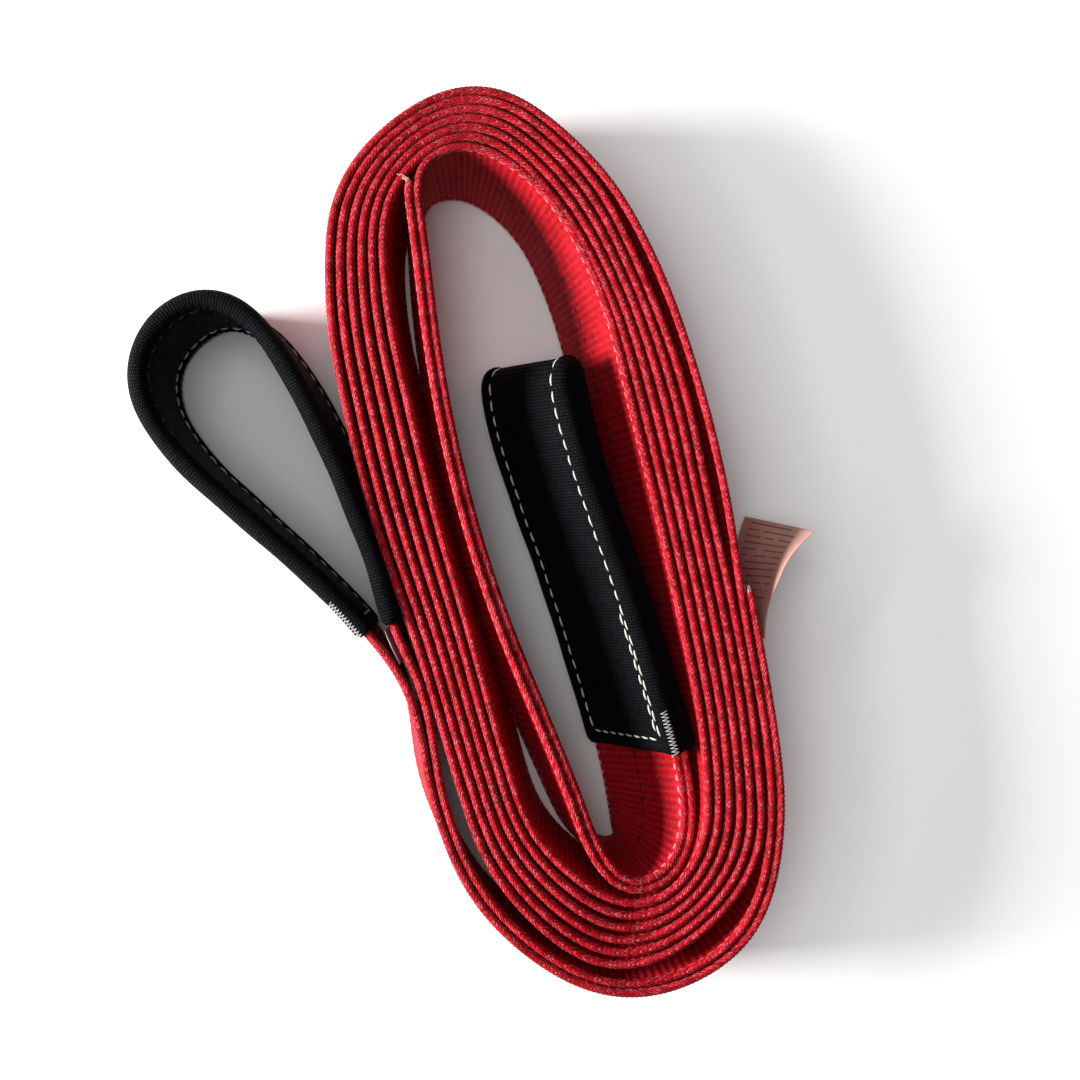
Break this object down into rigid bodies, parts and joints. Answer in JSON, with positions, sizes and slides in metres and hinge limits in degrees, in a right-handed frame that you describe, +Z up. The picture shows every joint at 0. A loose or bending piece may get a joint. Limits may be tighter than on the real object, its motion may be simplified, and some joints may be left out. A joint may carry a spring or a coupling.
{
  "type": "flat web sling",
  "caption": "Flat eye-and-eye webbing sling stored as an oval coil on edge, with black wear sleeves on its eyes, sewn splices and a blank tag.",
  "frame": {"origin": "on the ground, at the middle of the outline seen from above", "axes": "+Z up along the web's width, +Y along the coil's longer extent, towards its sharp inner bend; +X towards the tag"},
  "size_m": [0.2618, 0.3524, 0.0532],
  "materials": {
    "red_web": "woven polyester web, ribbed face, rope-like selvedge",
    "black_sleeve": "coarse plain-weave nylon sleeve",
    "white_thread": "heavy bonded sewing thread",
    "cream_thread": "heavy sewing thread and frayed yarn",
    "tag_cloth": "thin satin label cloth, left blank",
    "label_tape": "narrow woven tape, left blank"
  },
  "bodies": {
    "root": {"coil_turn_1": "red_web", "coil_turn_2": "red_web", "coil_turn_3": "red_web", "coil_turn_4": "red_web", "coil_turn_5": "red_web", "coil_turn_6": "red_web", "coil_turn_7": "red_web", "inner_splice_stitching": "cream_thread", "inner_splice_web": "red_web", "inner_tail": "red_web", "inner_tail_frayed_thread": "cream_thread", "outer_splice_stitching": "cream_thread", "outer_tail": "red_web", "outer_tail_frayed_thread": "cream_thread", "throat_label": "label_tape"},
    "outer_eye": {"outer_eye_sleeve": "black_sleeve", "outer_eye_sleeve_cross_seams": "white_thread", "outer_eye_sleeve_overlock": "white_thread", "outer_eye_sleeve_seam_lower": "white_thread", "outer_eye_sleeve_seam_upper": "white_thread", "outer_eye_web": "red_web"},
    "inner_eye": {"inner_eye_sleeve": "black_sleeve", "inner_eye_sleeve_cross_seams": "white_thread", "inner_eye_sleeve_overlock": "white_thread", "inner_eye_sleeve_seam_lower": "white_thread", "inner_eye_sleeve_seam_upper": "white_thread", "inner_eye_web": "red_web"},
    "tag": {"rating_tag": "tag_cloth", "tag_stitching": "cream_thread"}
  },
  "joints": [
    {"name": "outer_eye_swing", "type": "hinge", "parent": "root", "child": "outer_eye", "pos_m": [-0.04036, -0.03758, 0.0266], "axis": [0, 0, 1], "range_deg": [0, 40]},
    {"name": "inner_eye_swing", "type": "hinge", "parent": "root", "child": "inner_eye", "pos_m": [0.06564, -0.08008, 0.0266], "axis": [0, 0, 1], "range_deg": [0, 3]},
    {"name": "tag_flap", "type": "hinge", "parent": "root", "child": "tag", "pos_m": [0.11184, -0.03748, 0.0254], "axis": [0, 0, -1], "range_deg": [0, 60]}
  ]
}
